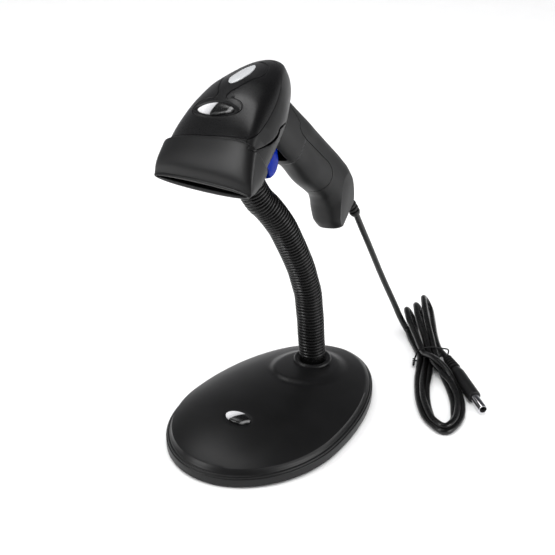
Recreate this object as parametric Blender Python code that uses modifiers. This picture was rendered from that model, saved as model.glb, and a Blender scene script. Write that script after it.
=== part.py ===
"""Handheld barcode scanner resting on a gooseneck stand, with its cord: the solid model.

World frame: metres, +Z up, the stand's underside on z = 0, the scanner looks towards -Y and
+X is its left side. The scanner's own pieces are drawn in a local frame whose -Y is the
looking direction and whose +Z runs up the handle; one empty tilts them forward onto the neck.
"""
import math

import bmesh
import bpy
from mathutils import Matrix, Vector

MM = 0.001
GAP = 0.3 * MM

# Stand base: an egg outline, widest on the line y = 0
BASE_FRONT = 65.7 * MM
BASE_REAR = 98.9 * MM
BASE_HALF_WIDTH = 53.6 * MM
BASE_RIM_HEIGHT = 8.8 * MM
BASE_DOME_HEIGHT = 13.6 * MM
BASE_DOME_POWER = 0.8
BASE_WALL = 2.4 * MM
BASE_SIDES = 56
PAD_HEIGHT = 1.0 * MM
PAD_INSET = 4.5 * MM
PLATE_BOTTOM = PAD_HEIGHT + GAP
PLATE_TOP = PLATE_BOTTOM + 1.8 * MM
SCREW_PLACES = (-30.0 * MM, 26.0 * MM)
SCREW_RADIUS = 2.6 * MM
WEIGHT_HEIGHT = 4.6 * MM
BADGE_Y = -23.9 * MM

# Neck: its centreline rises from the base and leans forward and to the right.
# Each pivot is (distance along NECK_LEAN, height) in millimetres.
NECK_Y = 57.75 * MM
NECK_LEAN = Vector((-0.4539, -0.8911, 0.0))
NECK_RADIUS = 8.5 * MM
NECK_FOOT_TOP = 29.0 * MM
NECK_PIVOTS = ((2.6, 56.0), (7.5, 84.5), (17.8, 110.8), (29.8, 131.9))
NECK_END = (39.6, 146.2)
BALL_RADIUS = 7.6 * MM
SOCKET_RADIUS = 8.1 * MM
BALL_SHOULDER = 4.0 * MM
SOCKET_LIP = 1.0 * MM
COLLAR_RADIUS = 12.0 * MM

# Scanner frame: pitched down, rolled to its left side and turned a little on the neck
SCANNER_ORIGIN = (-19.8 * MM, 21.6 * MM, 153.4 * MM)
SCANNER_TURN = (math.radians(26.43), math.radians(-13.354), math.radians(-3.752))
STEM_Y = -2.5

# Head sections along local y: y, underside, widest level, top, half width, squareness
HEAD = (
    (-30.5, 24.6, 30.8, 36.4, 34.8, 2.5),
    (-28.0, 21.6, 33.0, 39.8, 35.8, 2.7),
    (-19.0, 18.6, 37.6, 46.0, 35.6, 2.9),
    (-11.9, 18.2, 40.2, 49.8, 34.9, 2.8),
    (-10.9, 18.2, 40.4, 50.0, 33.3, 2.6),
    (4.5, 18.6, 42.6, 54.4, 30.8, 2.4),
    (16.0, 18.4, 43.2, 56.2, 28.8, 2.25),
    (28.0, 18.0, 43.2, 55.4, 26.2, 2.2),
    (38.0, 18.0, 42.8, 52.6, 22.8, 2.15),
    (48.0, 18.5, 42.0, 49.2, 18.0, 2.1),
    (55.5, 21.0, 40.0, 46.0, 13.0, 2.1),
    (60.0, 26.0, 38.0, 42.6, 8.0, 2.0),
    (62.0, 32.0, 36.5, 39.4, 2.5, 2.0),
)
HEAD_SIDES = 32
# The hood droops to its left side: twist about local y and skew, growing from y = -6 to -29
HOOD_TWIST = math.radians(6.5)
HOOD_SKEW = math.tan(math.radians(4.0))
HOOD_RANGE = (-6.0 * MM, -29.0 * MM)
HOOD_AXIS = 35.0 * MM
WALL = 2.2 * MM
SEAM = ((-11.4, 120.0), (-11.4, 50.0), (-9.5, 46.0))
SPLIT = ((-9.5, 46.0), (-2.8, 44.0), (5.6, 42.7), (12.4, 42.1), (21.7, 41.8), (29.3, 42.3),
         (37.4, 43.2), (43.5, 44.4), (52.0, 45.0), (90.0, 45.0))
CRESCENT = ((-9.5, 46.0), (-15.0, 44.5), (-14.3, 41.7), (-9.0, 38.4), (-4.1, 35.6), (3.6, 32.1),
            (10.0, 30.4), (16.0, 30.8), (24.0, 27.0), (30.0, 12.0), (30.0, 0.0))

# Handle sections down local z: z, front, back, half width, squareness, slant of the section
HANDLE = (
    (32.0, 18.5, 47.5, 14.5, 2.3, 0.0),
    (12.0, 22.6, 51.6, 14.2, 2.3, 0.08),
    (-8.0, 26.0, 56.6, 13.6, 2.3, 0.16),
    (-30.0, 30.6, 61.9, 13.4, 2.3, 0.22),
    (-46.0, 35.0, 65.0, 13.6, 2.3, 0.15),
    (-54.0, 35.6, 64.4, 14.2, 2.4, 0.12),
    (-60.0, 34.0, 62.4, 14.6, 2.6, 0.10),
    (-64.5, 32.6, 60.0, 14.0, 2.8, 0.10),
    (-68.0, 33.8, 57.2, 11.8, 3.0, 0.10),
)
HANDLE_SIDES = 28
GRIP_SEAM = ((44.6, 60.0), (43.8, 12.5), (41.4, 6.6), (40.4, 0.0), (43.0, -11.4), (45.8, -22.7),
             (47.4, -29.6), (46.8, -34.8), (44.4, -38.4), (39.6, -41.4), (20.0, -45.0))

# Trigger
TRIGGER_PIN = (26.6, 11.5)
TRIGGER_HALF_WIDTH = 6.0
TRIGGER_OUTLINE = ((14.6, 17.2), (12.2, 9.0), (10.4, 2.0), (8.6, -3.4), (10.0, -5.6), (15.0, -5.8),
                   (20.5, -3.0), (24.5, 3.0), (29.4, 8.6), (30.0, 14.0), (26.4, 17.2))

# Cord
CORD_RADIUS = 2.0 * MM
RELIEF_ROUTE = ((52.8, -69.3), (55.0, -72.2), (56.6, -76.0), (57.0, -81.0), (56.8, -86.6))
CORD_ROUTE = ((-1.9, 110.6, 101.9), (-0.6, 115.4, 91.0), (1.4, 122.8, 75.0), (4.2, 135.6, 48.0),
              (8.6, 145.9, 24.0), (11.4, 149.2, 13.5), (15.0, 150.6, 6.2), (18.6, 149.6, 2.8))
HANK_TOP = (2.0, 194.0)
HANK_BOTTOM = (96.5, 54.0)
HANK_HALF_WIDTHS = ((0.0, 0.0), (0.05, 7.6), (0.16, 9.4), (0.32, 8.0), (0.465, 7.2), (0.58, 9.5),
                    (0.76, 15.2), (0.90, 14.2), (0.975, 7.5), (1.0, 0.0))
HANK_FLOOR = 1.0 * MM
HANK_HEIGHT = 9.5 * MM
TIE_STATION = 0.465
PLUG_RADIUS = 4.3
PLUG_START = (58.6, 131.8)
PLUG_END = (107.8, 89.5)
PLUG_RIBS_END = 15.5
PLUG_BODY_END = 49.0
PLUG_BARREL = 14.0


def clear_scene():
    for obj in list(bpy.data.objects):
        bpy.data.objects.remove(obj, do_unlink=True)


def collection(name):
    group = bpy.data.collections.new(name)
    bpy.context.scene.collection.children.link(group)
    return group


def material(name, colour, roughness, metallic=0.0):
    mat = bpy.data.materials.new(name)
    mat.use_nodes = True
    shader = mat.node_tree.nodes["Principled BSDF"]
    shader.inputs["Base Color"].default_value = (*colour, 1.0)
    shader.inputs["Roughness"].default_value = roughness
    shader.inputs["Metallic"].default_value = metallic
    return mat


def finish_object(obj, mat, parent=None, cutter=False):
    for group in list(obj.users_collection):
        group.objects.unlink(obj)
    (CUTTERS if cutter else PARTS).objects.link(obj)
    if cutter:
        obj.hide_render = True
        obj.display_type = "WIRE"
    elif mat is not None:
        obj.data.materials.append(mat)
    if parent is not None:
        obj.parent = parent
    if obj.type == "MESH" and not cutter:
        obj.data.shade_smooth()
        obj.data.set_sharp_from_angle(angle=math.radians(35))
    return obj


def mesh_object(name, bm, mat, parent=None, cutter=False):
    bmesh.ops.recalc_face_normals(bm, faces=bm.faces)
    mesh = bpy.data.meshes.new(name)
    bm.to_mesh(mesh)
    bm.free()
    return finish_object(bpy.data.objects.new(name, mesh), mat, parent, cutter)


def loft(name, rings, mat, parent=None, cutter=False):
    """Close a skin over a row of rings with the same number of points."""
    bm = bmesh.new()
    rows = [[bm.verts.new(p) for p in ring] for ring in rings]
    for low, high in zip(rows, rows[1:]):
        for i in range(len(low)):
            j = (i + 1) % len(low)
            bm.faces.new((low[i], low[j], high[j], high[i]))
    bm.faces.new(list(reversed(rows[0])))
    bm.faces.new(rows[-1])
    return mesh_object(name, bm, mat, parent, cutter)


def side_prism(name, outline_mm, half_width, mat=None, parent=None, cutter=False):
    """Extrude an outline drawn in local y and z evenly to both sides of x = 0."""
    rings = [[Vector((x, y * MM, z * MM)) for y, z in outline_mm]
             for x in (-half_width, half_width)]
    return loft(name, rings, mat, parent, cutter)


def box(name, low_mm, high_mm, mat, parent=None, bevel=0.0, cutter=False):
    low, high = Vector(low_mm) * MM, Vector(high_mm) * MM
    bm = bmesh.new()
    bmesh.ops.create_cube(bm, size=1.0)
    bmesh.ops.scale(bm, vec=high - low, verts=bm.verts)
    bmesh.ops.translate(bm, vec=(low + high) / 2, verts=bm.verts)
    obj = mesh_object(name, bm, mat, parent, cutter)
    if bevel:
        add_bevel(obj, bevel)
    return obj


def add_bevel(obj, width, segments=1):
    mod = obj.modifiers.new("edges", "BEVEL")
    mod.width = width
    mod.segments = segments
    mod.limit_method = "ANGLE"
    mod.angle_limit = math.radians(40)


def boolean(obj, cutter, operation="DIFFERENCE"):
    mod = obj.modifiers.new(operation.lower(), "BOOLEAN")
    mod.operation = operation
    mod.solver = "EXACT"
    mod.object = cutter


def turned(name, profile, mat, sides=24, place=None, parent=None, cutter=False):
    """Turn a profile of (radius, height), outer side first from the top down, about local z."""
    bm = bmesh.new()
    verts = [bm.verts.new((r, 0.0, z)) for r, z in profile]
    for a, b in zip(verts, verts[1:]):
        bm.edges.new((a, b))
    if profile[0][0] > 1e-7:
        bm.edges.new((verts[-1], verts[0]))
    mesh = bpy.data.meshes.new(name)
    bm.to_mesh(mesh)
    bm.free()
    obj = bpy.data.objects.new(name, mesh)
    mod = obj.modifiers.new("turn", "SCREW")
    mod.steps = mod.render_steps = sides
    mod.use_merge_vertices = True
    mod.merge_threshold = 0.00001
    mod.use_normal_calculate = False
    obj.matrix_basis = place or Matrix()
    return finish_object(obj, mat, parent, cutter)


def disc(name, radius, low, high, mat, at=(0.0, 0.0), sides=24, place=None, parent=None):
    place = place or Matrix.Translation((at[0], at[1], 0.0))
    return turned(name, ((0.0, high), (radius, high), (radius, low), (0.0, low)), mat,
                  sides, place, parent)


def tube(name, points, radius, mat, parent=None, resolution=2):
    curve = bpy.data.curves.new(name, "CURVE")
    curve.dimensions = "3D"
    curve.bevel_depth = radius
    curve.bevel_resolution = resolution
    curve.use_fill_caps = True
    spline = curve.splines.new("POLY")
    spline.points.add(len(points) - 1)
    for point, place in zip(spline.points, points):
        point.co = (*place, 1.0)
    return finish_object(bpy.data.objects.new(name, curve), mat, parent)


def smooth_curve(points, step):
    """Read points about one step apart from a Catmull-Rom curve through hand-set points."""
    pts = [Vector(p) for p in points]
    pts = [2 * pts[0] - pts[1]] + pts + [2 * pts[-1] - pts[-2]]
    fine = []
    for p0, p1, p2, p3 in zip(pts, pts[1:], pts[2:], pts[3:]):
        for i in range(20):
            t = i / 20
            fine.append(0.5 * (2 * p1 + (p2 - p0) * t + (2 * p0 - 5 * p1 + 4 * p2 - p3) * t ** 2
                               + (3 * p1 - p0 - 3 * p2 + p3) * t ** 3))
    fine.append(pts[-2])
    length = sum((b - a).length for a, b in zip(fine, fine[1:]))
    count = max(2, round(length / step))
    kept, run, target = [fine[0]], 0.0, length / count
    for a, b in zip(fine, fine[1:]):
        run += (b - a).length
        if run >= target * len(kept) and len(kept) < count:
            kept.append(b)
    return kept + [fine[-1]]


def aim(start, end):
    """Matrix that puts local z along start to end, with its origin at start."""
    direction = (Vector(end) - Vector(start)).normalized()
    return Matrix.Translation(start) @ direction.to_track_quat("Z", "Y").to_matrix().to_4x4()


def oval_ring(half_x, low_y, high_y, z, power, sides, level=None):
    """Superellipse in x and y at one height; with level, in x and z at one y instead."""
    ring = []
    for i in range(sides):
        c, s = math.cos(2 * math.pi * i / sides), math.sin(2 * math.pi * i / sides)
        x = half_x * math.copysign(abs(c) ** (2 / power), c)
        reach = (high_y if s > 0 else low_y) - (level if level is not None else (low_y + high_y) / 2)
        across = (level if level is not None else (low_y + high_y) / 2) + abs(s) ** (2 / power) * reach
        ring.append(Vector((x, z, across)) if level is not None else Vector((x, across, z)))
    return ring


def droop(point):
    """Twist and skew a point of the hood, by its distance from the head's middle."""
    start, end = HOOD_RANGE
    t = min(1.0, max(0.0, (point.y - start) / (end - start)))
    share = t * t * (3 - 2 * t)
    turn, height = HOOD_TWIST * share, point.z - HOOD_AXIS
    return Vector((point.x * math.cos(turn) + height * math.sin(turn),
                   point.y - point.x * HOOD_SKEW * share,
                   HOOD_AXIS + height * math.cos(turn) - point.x * math.sin(turn)))


def head_rings(offset):
    """Sections of the head grown or shrunk by an offset in millimetres."""
    rings = []
    for y, low, mid, high, half, power in HEAD:
        low, high, half = low - offset, high + offset, half + offset
        low, high, half = min(low, mid - 0.4), max(high, mid + 0.4), max(half, 0.5)
        ring = oval_ring(half * MM, low * MM, high * MM, y * MM, power, HEAD_SIDES, mid * MM)
        rings.append([droop(p) for p in ring])
    return rings


def head_solid(name, offset, front_extra, rear_extra):
    rings = head_rings(offset)
    rings[0] = [p + Vector((0, -front_extra * MM, 0)) for p in rings[0]]
    for ring in rings[-3:]:
        for p in ring:
            p.y += rear_extra * MM
    return loft(name, rings, None, SCANNER, cutter=True)


def handle_rings(offset):
    rings = []
    for z, front, back, half, power, slant in HANDLE:
        ring = oval_ring((half + offset) * MM, (front - offset) * MM, (back + offset) * MM,
                         z * MM, power, HANDLE_SIDES)
        middle = (front + back) / 2 * MM
        rings.append([p + Vector((0, 0, slant * (p.y - middle))) for p in ring])
    return rings


def egg(inset, z, sides=BASE_SIDES):
    ring = []
    for i in range(sides):
        a = 2 * math.pi * i / sides
        along = (BASE_REAR if math.cos(a) > 0 else BASE_FRONT) - inset
        ring.append(Vector(((BASE_HALF_WIDTH - inset) * math.sin(a), along * math.cos(a), z)))
    return ring


def egg_scaled(share, z):
    ring = egg(0.0, 0.0)
    return [Vector((p.x * share, p.y * share, z)) for p in ring]


def dome_height(share):
    return BASE_RIM_HEIGHT + BASE_DOME_HEIGHT * max(0.0, 1 - share ** 2) ** BASE_DOME_POWER


def make_base():
    inner_shares = (0.05, 0.35, 0.6, 0.8, 0.92)
    outer_shares = (0.985, 0.95, 0.88, 0.76, 0.6, 0.4, 0.2, 0.05)
    rings = [egg_scaled(s, dome_height(s) - BASE_WALL) for s in inner_shares]
    rings += [egg(BASE_WALL, BASE_RIM_HEIGHT - BASE_WALL), egg(BASE_WALL, PAD_HEIGHT)]
    rings += [egg(0.0, PAD_HEIGHT), egg(0.0, 6.8 * MM), egg(0.7 * MM, 7.4 * MM)]
    rings += [egg_scaled(s, dome_height(s)) for s in outer_shares]
    shell = loft("base_shell", rings, BLACK_SATIN)
    hole = turned("neck_hole", ((0.0, 60 * MM), (8.2 * MM, 60 * MM), (8.2 * MM, 5 * MM), (0.0, 5 * MM)),
                  None, 24, Matrix.Translation((0, NECK_Y, 0)), cutter=True)
    boolean(shell, hole)
    plate = loft("base_bottom_plate", [egg(BASE_WALL + GAP, PLATE_BOTTOM),
                                       egg(BASE_WALL + GAP, PLATE_TOP)], BLACK_PLASTIC)
    bottom = PLATE_TOP + GAP
    weight = loft("base_weight", [egg(13 * MM, bottom), egg(13 * MM, bottom + WEIGHT_HEIGHT)], STEEL)
    boolean(weight, turned("nut_hole", ((0, 40 * MM), (13 * MM, 40 * MM), (13 * MM, 0), (0, 0)), None, 24,
                           Matrix.Translation((0, NECK_Y, 0)), cutter=True))
    loft("base_pad", [egg(PAD_INSET, 0.0), egg(PAD_INSET, PAD_HEIGHT)], RUBBER)
    for i, y in enumerate(SCREW_PLACES, 1):
        at = Matrix.Translation((0, y, 0))
        recess = turned(f"screw_recess_{i}", ((0, PLATE_TOP - GAP), (SCREW_RADIUS + GAP, PLATE_TOP - GAP),
                                              (SCREW_RADIUS + GAP, 0), (0, 0)), None, 16, at, cutter=True)
        boolean(plate, recess)
        disc(f"base_screw_{i}", SCREW_RADIUS, PLATE_BOTTOM + 0.2 * MM, PLATE_TOP - 2 * GAP, STEEL,
             sides=12, place=at)


def make_base_badge():
    share = -BADGE_Y / BASE_FRONT
    slope = math.atan2(dome_height(share - 0.05) - dome_height(share + 0.05), 0.1 * BASE_FRONT)
    place = (Matrix.Translation((0, BADGE_Y, dome_height(share) + GAP))
             @ Matrix.Rotation(slope, 4, "X"))
    rings = []
    for half_x, half_y, z in ((8.0, 4.6, 0.25), (8.0, 4.6, 0.9), (7.2, 3.9, 1.4), (4.5, 2.2, 1.7)):
        ring = oval_ring(half_x * MM, -half_y * MM, half_y * MM, z * MM, 2.0, 24)
        rings.append([place @ p for p in ring])
    loft("base_badge", rings, SILVER)


def make_neck_foot():
    top = dome_height(NECK_Y / BASE_REAR)
    at = Matrix.Translation((0, NECK_Y, 0))
    low = top + 1.8 * MM
    turned("neck_collar", ((8.0 * MM, low + 2.2 * MM), (10.6 * MM, low + 2.2 * MM),
                           (COLLAR_RADIUS, low + 1.2 * MM), (COLLAR_RADIUS, low), (8.0 * MM, low)),
           BLACK_SATIN, 32, at)
    turned("neck_foot_sleeve", ((5.5 * MM, NECK_FOOT_TOP), (7.5 * MM, NECK_FOOT_TOP),
                                (7.5 * MM, 9.5 * MM), (5.5 * MM, 9.5 * MM)), BLACK_PLASTIC, 24, at)
    turned("neck_lock_nut", ((9.2 * MM, top - 5.2 * MM), (12.4 * MM, top - 5.2 * MM),
                             (12.4 * MM, top - 9.6 * MM), (9.2 * MM, top - 9.6 * MM)), STEEL, 6, at)


def arc_profile(radius, start, end, steps):
    """Points of a circle about the profile's origin, given as radius and height."""
    turn = [start + (end - start) * i / steps for i in range(steps + 1)]
    return [(max(0.0, radius * math.cos(a)), radius * math.sin(a)) for a in turn]


def neck_point(along, height):
    return Vector((0, NECK_Y, height * MM)) + NECK_LEAN * along * MM


def make_neck():
    """Short links with a ball at the top and a matching socket below stand for the flexible neck."""
    pivots = [neck_point(*place) for place in NECK_PIVOTS]
    starts = [Vector((0, NECK_Y, NECK_FOOT_TOP + 1.2 * MM))] + pivots
    ends = pivots + [neck_point(*NECK_END)]
    for i, (start, end) in enumerate(zip(starts, ends)):
        length = (end - start).length
        if i < len(pivots):
            ball = arc_profile(BALL_RADIUS, math.pi / 2, -math.asin(BALL_SHOULDER / BALL_RADIUS), 7)
            profile = [(r, length + z) for r, z in ball]
            profile.append((NECK_RADIUS, length - BALL_SHOULDER - 0.2 * MM))
        else:
            profile = [(0.0, length), (NECK_RADIUS, length)]
        if i == 0:
            profile += [(NECK_RADIUS, 0.0), (0.0, 0.0)]
        else:
            socket = arc_profile(SOCKET_RADIUS, math.asin(SOCKET_LIP / SOCKET_RADIUS), math.pi / 2, 6)
            profile += [(NECK_RADIUS, SOCKET_LIP)] + socket
        turned(f"neck_segment_{i + 1}", profile, BLACK_PLASTIC, 20, aim(start, end))


def make_cradle():
    turned("neck_top_ferrule", ((0.0, 6.0 * MM), (9.0 * MM, 6.0 * MM), (9.6 * MM, 4.4 * MM),
                                (9.6 * MM, -5.6 * MM), (0.0, -5.6 * MM)), BLACK_PLASTIC, 24,
           Matrix.Translation((0, STEM_Y * MM, 0)), SCANNER)
    cradle = box("cradle", (-11.0, -11.5, 6.3), (11.0, 6.5, 26.0), BLACK_SATIN, SCANNER)
    boolean(cradle, head_solid("cradle_cut", 0.4, 0.4, 0.4))


def region(name, outline):
    return side_prism(name, outline, 60 * MM, parent=SCANNER, cutter=True)


def shell_piece(name, region_obj, outer, inner, mat):
    piece = bpy.data.objects.new(name, outer.data.copy())
    finish_object(piece, mat, SCANNER)
    boolean(piece, inner)
    boolean(piece, region_obj, "INTERSECT")
    return piece


def offset_line(points, distance):
    """Move a line in local y and z sideways, to the left of its run for a positive distance."""
    moved = []
    for i, (y, z) in enumerate(points):
        run = Vector(points[min(len(points) - 1, i + 1)]) - Vector(points[max(0, i - 1)])
        run.normalize()
        moved.append((y - run.y * distance, z + run.x * distance))
    return tuple(moved)


def make_head():
    outer = head_solid("head_outer", 0.0, 0.0, 0.0)
    inner = head_solid("head_inner", -WALL / MM, 10.0, -2.2)
    passage = loft("handle_passage", [oval_ring(9 * MM, 34 * MM, 45 * MM, z * MM, 2.3, 20)
                                      for z in (8.0, 26.0)], None, SCANNER, cutter=True)
    half_gap = GAP / MM / 2
    top_region = region("top_region", offset_line(SEAM[:-1] + SPLIT, half_gap) + ((90.0, 120.0),))
    band_region = region("band_region", offset_line(CRESCENT[:0:-1] + SPLIT, -half_gap) + ((90.0, 0.0),))
    nose_region = region("nose_region", offset_line(SEAM + CRESCENT[1:], -half_gap)
                         + ((-80.0, 0.0), (-80.0, 120.0)))
    shell_piece("top_cover", top_region, outer, inner, BLACK_SATIN)
    band = shell_piece("body_band", band_region, outer, inner, BLACK_SATIN)
    shell_piece("nose_bumper", nose_region, outer, inner, BLACK_SATIN)
    boolean(band, passage)


def make_head_details():
    lens = []
    for half_x, half_y, z in ((3.2, 11.0, 0.0), (3.0, 10.4, 0.8)):
        lens.append([Vector((half_x * MM * math.cos(a), half_y * MM * math.sin(a), z * MM))
                     for a in [2 * math.pi * i / 20 for i in range(20)]])
    place = Matrix.Translation((0, 37.4 * MM, 53.8 * MM)) @ Matrix.Rotation(math.radians(-18.7), 4, "X")
    loft("indicator_lens", [[place @ p for p in ring] for ring in lens], PALE_LENS, SCANNER)
    place = Matrix.Translation((0, 4.5 * MM, 54.7 * MM)) @ Matrix.Rotation(math.radians(13), 4, "X")
    badge = [oval_ring(a * MM, -b * MM, b * MM, z * MM, 2.0, 24)
             for a, b, z in ((15.0, 4.6, 0.3), (13.6, 3.6, 1.1))]
    loft("top_badge", [[place @ p for p in ring] for ring in badge], SILVER, SCANNER)


def make_optics():
    box("scan_window", (-24.0, -16.0, 25.0), (24.0, -14.6, 42.0), DARK_GLASS, SCANNER)
    box("optics_chassis", (-18.0, -11.5, 24.5), (18.0, 3.0, 41.0), BLACK_PLASTIC, SCANNER, 0.6 * MM)
    facing = Matrix.Rotation(math.radians(90), 4, "X")
    disc("lens_barrel", 4.0 * MM, 0.0, 2.2 * MM, BLACK_PLASTIC, sides=20, parent=SCANNER,
         place=Matrix.Translation((0, -11.8 * MM, 33 * MM)) @ facing)
    for side, name in ((-1, "right"), (1, "left")):
        disc(f"light_lens_{name}", 2.6 * MM, 0.0, 1.8 * MM, PALE_LENS, sides=16, parent=SCANNER,
             place=Matrix.Translation((side * 11 * MM, -11.8 * MM, 33 * MM)) @ facing)
    box("main_pcb", (-16.0, 5.0, 45.0), (16.0, 40.0, 46.6), GREEN_BOARD, SCANNER)
    box("decoder_chip", (-7.0, 14.0, 46.9), (7.0, 28.0, 48.8), BLACK_PLASTIC, SCANNER)
    disc("buzzer", 5.5 * MM, 0.0, 6.3 * MM, BLACK_PLASTIC, sides=20, parent=SCANNER,
         place=Matrix.Translation((0, 32 * MM, 38.4 * MM)))


def make_handle():
    inner_rings = handle_rings(-WALL / MM)
    inner_rings[0] = [p + Vector((0, 0, 2 * MM)) for p in inner_rings[0]]
    inner_rings[-1] = [p + Vector((0, 0, -3 * MM)) for p in inner_rings[-1]]
    inner = loft("handle_inner", inner_rings, None, SCANNER, cutter=True)
    head_cut = head_solid("handle_head_cut", GAP / MM, 0.3, 0.3)
    half_gap = GAP / MM / 2
    front_region = region("grip_region", offset_line(GRIP_SEAM, -half_gap) + ((-40.0, -45.0), (-40.0, 60.0)))
    back_region = region("back_region", offset_line(GRIP_SEAM, half_gap)
                         + ((-40.0, -45.3), (-40.0, -120.0), (90.0, -120.0), (90.0, 60.0)))
    opening = box("trigger_opening", (-7.6, -5.0, -9.0), (7.6, 31.5, 70.0), None, SCANNER, cutter=True)
    for name, zone in (("grip_front", front_region), ("grip_back", back_region)):
        piece = loft(name, handle_rings(0.0), BLACK_SATIN, SCANNER)
        boolean(piece, inner)
        if name == "grip_front":
            boolean(piece, opening)
        boolean(piece, head_cut)
        boolean(piece, zone, "INTERSECT")
    rings = []
    for z in (-68.0, -66.2):
        ring = oval_ring(9.2 * MM, 36.4 * MM, 54.6 * MM, z * MM, 3.0, 28)
        rings.append([p + Vector((0, 0, 0.10 * (p.y - 45.5 * MM))) for p in ring])
    plate = loft("butt_plate", rings, BLACK_PLASTIC, SCANNER)
    hole = loft("relief_hole", [oval_ring(2.4 * MM, 48.0 * MM, 52.8 * MM, z * MM, 2.0, 16)
                                for z in (-76.0, -60.0)], None, SCANNER, cutter=True)
    boolean(plate, hole)


def make_trigger():
    origin = Vector((0, *TRIGGER_PIN)) * MM
    blade = side_prism("trigger", TRIGGER_OUTLINE, TRIGGER_HALF_WIDTH * MM, BLUE, SCANNER)
    blade.data.transform(Matrix.Translation(-origin))
    blade.location = origin
    add_bevel(blade, 0.9 * MM, 2)
    across = Matrix.Translation(origin) @ Matrix.Rotation(math.radians(90), 4, "Y")
    for name, radius, reach, mat in (("pin_hole", 1.35, 12.0, None), ("trigger_pin", 1.25, 7.2, STEEL)):
        profile = ((0, reach * MM), (radius * MM, reach * MM), (radius * MM, -reach * MM), (0, -reach * MM))
        pin = turned(name, profile, mat, 16, across, SCANNER, cutter=mat is None)
        if mat is None:
            boolean(blade, pin)


def make_electrics():
    box("switch_board", (-8.0, 42.0, -12.0), (8.0, 43.4, 8.0), GREEN_BOARD, SCANNER)
    box("trigger_switch", (-3.5, 35.0, -4.0), (3.5, 41.7, 4.0), BLACK_PLASTIC, SCANNER, 0.4 * MM)
    points = []
    turns, per_turn = 3, 12
    for i in range(turns * per_turn + 1):
        a = 2 * math.pi * i / per_turn
        points.append(Vector((1.9 * math.cos(a), 27.6 + 6.2 * i / (turns * per_turn), 1.2
                              + 1.9 * math.sin(a))) * MM)
    tube("trigger_spring", points, 0.28 * MM, STEEL, SCANNER, 1)
    box("cable_socket", (-6.0, 43.0, -64.6), (6.0, 53.0, -54.0), PALE_PLASTIC, SCANNER)


def make_relief():
    route = smooth_curve([Vector((0, y, z)) * MM for y, z in RELIEF_ROUTE], 2.6 * MM)
    rings = []
    for i, place in enumerate(route):
        before, after = route[max(0, i - 1)], route[min(len(route) - 1, i + 1)]
        direction = (after - before).normalized()
        side = Vector((1, 0, 0))
        rise = direction.cross(side)
        share = i / (len(route) - 1)
        radius = (3.7 - 0.9 * share - (0.3 if i % 2 else 0.0)) * MM
        rings.append([place + radius * (math.cos(a) * side + math.sin(a) * rise)
                      for a in [2 * math.pi * k / 16 for k in range(16)]])
    loft("strain_relief", rings, RUBBER, SCANNER)


def hank_half_width(station):
    for (s0, w0), (s1, w1) in zip(HANK_HALF_WIDTHS, HANK_HALF_WIDTHS[1:]):
        if s0 <= station <= s1:
            t = (station - s0) / (s1 - s0)
            t = t * t * (3 - 2 * t)
            return (w0 + (w1 - w0) * t) * MM
    return 0.0


def make_hank():
    top, bottom = Vector(HANK_TOP) * MM, Vector(HANK_BOTTOM) * MM
    along = bottom - top
    side = Vector((along.y, -along.x)).normalized()
    stations = [0.5 - 0.5 * math.cos(math.pi * i / 22) for i in range(23)]
    left = [top + along * s + side * hank_half_width(s) for s in stations]
    right = [top + along * s - side * hank_half_width(s) for s in stations[1:-1]]
    outline = left + right[::-1]
    rings = [[Vector((p.x, p.y, z)) for p in outline] for z in (HANK_FLOOR, HANK_FLOOR + HANK_HEIGHT)]
    loft("cable_hank", rings, CORD_BLACK)
    centre = top + along * TIE_STATION
    half = hank_half_width(TIE_STATION) + GAP + 0.5 * MM
    low, high = 0.15 * MM, HANK_FLOOR + HANK_HEIGHT + 0.85 * MM
    direction = Vector((along.x, along.y, 0)).normalized()
    across = Vector((side.x, side.y, 0))
    outside = half + 0.45 * MM
    loop = [(-outside, low), (outside, low), (outside, high), (-outside, high)]
    hole = [(-half, HANK_FLOOR - GAP), (half, HANK_FLOOR - GAP),
            (half, HANK_FLOOR + HANK_HEIGHT + GAP), (-half, HANK_FLOOR + HANK_HEIGHT + GAP)]
    middle = Vector((centre.x, centre.y, 0))

    def frame_ring(corners, shift):
        return [middle + direction * shift + across * a + Vector((0, 0, z)) for a, z in corners]

    tie = loft("cable_tie", [frame_ring(loop, -1.2 * MM), frame_ring(loop, 1.2 * MM)], RUBBER)
    boolean(tie, loft("tie_hole", [frame_ring(hole, -5 * MM), frame_ring(hole, 5 * MM)], None,
                      cutter=True))


def make_plug():
    """A round power plug lying on its side: ribbed sleeve, grip body, barrel and its inner ring."""
    start = Vector((*PLUG_START, PLUG_RADIUS)) * MM
    end = Vector((*PLUG_END, PLUG_RADIUS)) * MM
    place = aim(start, end)
    ribs = [(0.0, PLUG_RIBS_END)]
    for i in range(8):
        radius = 3.9 - 1.2 * i / 7 - (0.45 if i % 2 else 0.0)
        ribs.append((radius, PLUG_RIBS_END * (7 - i) / 7))
    ribs.append((0.0, 0.0))
    body = ((0.0, PLUG_BODY_END), (PLUG_RADIUS - 0.7, PLUG_BODY_END), (PLUG_RADIUS, PLUG_BODY_END - 0.7),
            (PLUG_RADIUS, PLUG_RIBS_END + 5.0), (3.9, PLUG_RIBS_END + 0.3), (0.0, PLUG_RIBS_END + 0.3))
    low, high = PLUG_BODY_END + 0.3, PLUG_BODY_END + 0.3 + PLUG_BARREL
    barrel = ((2.25, high), (2.75, high), (2.75, low), (0.0, low), (0.0, low + 1.0), (2.25, low + 1.0))
    ring = ((1.1, high - 0.3), (2.15, high - 0.3), (2.15, low + 1.2), (1.1, low + 1.2))
    for name, profile, mat in (("plug_relief", ribs, RUBBER), ("plug_body", body, BLACK_PLASTIC),
                               ("plug_inner_ring", ring, BLACK_PLASTIC)):
        turned(name, [(r * MM, z * MM) for r, z in profile], mat, 20, place)
    turned("plug_barrel", [(r * MM, z * MM) for r, z in barrel], NICKEL, 20, place)


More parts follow.
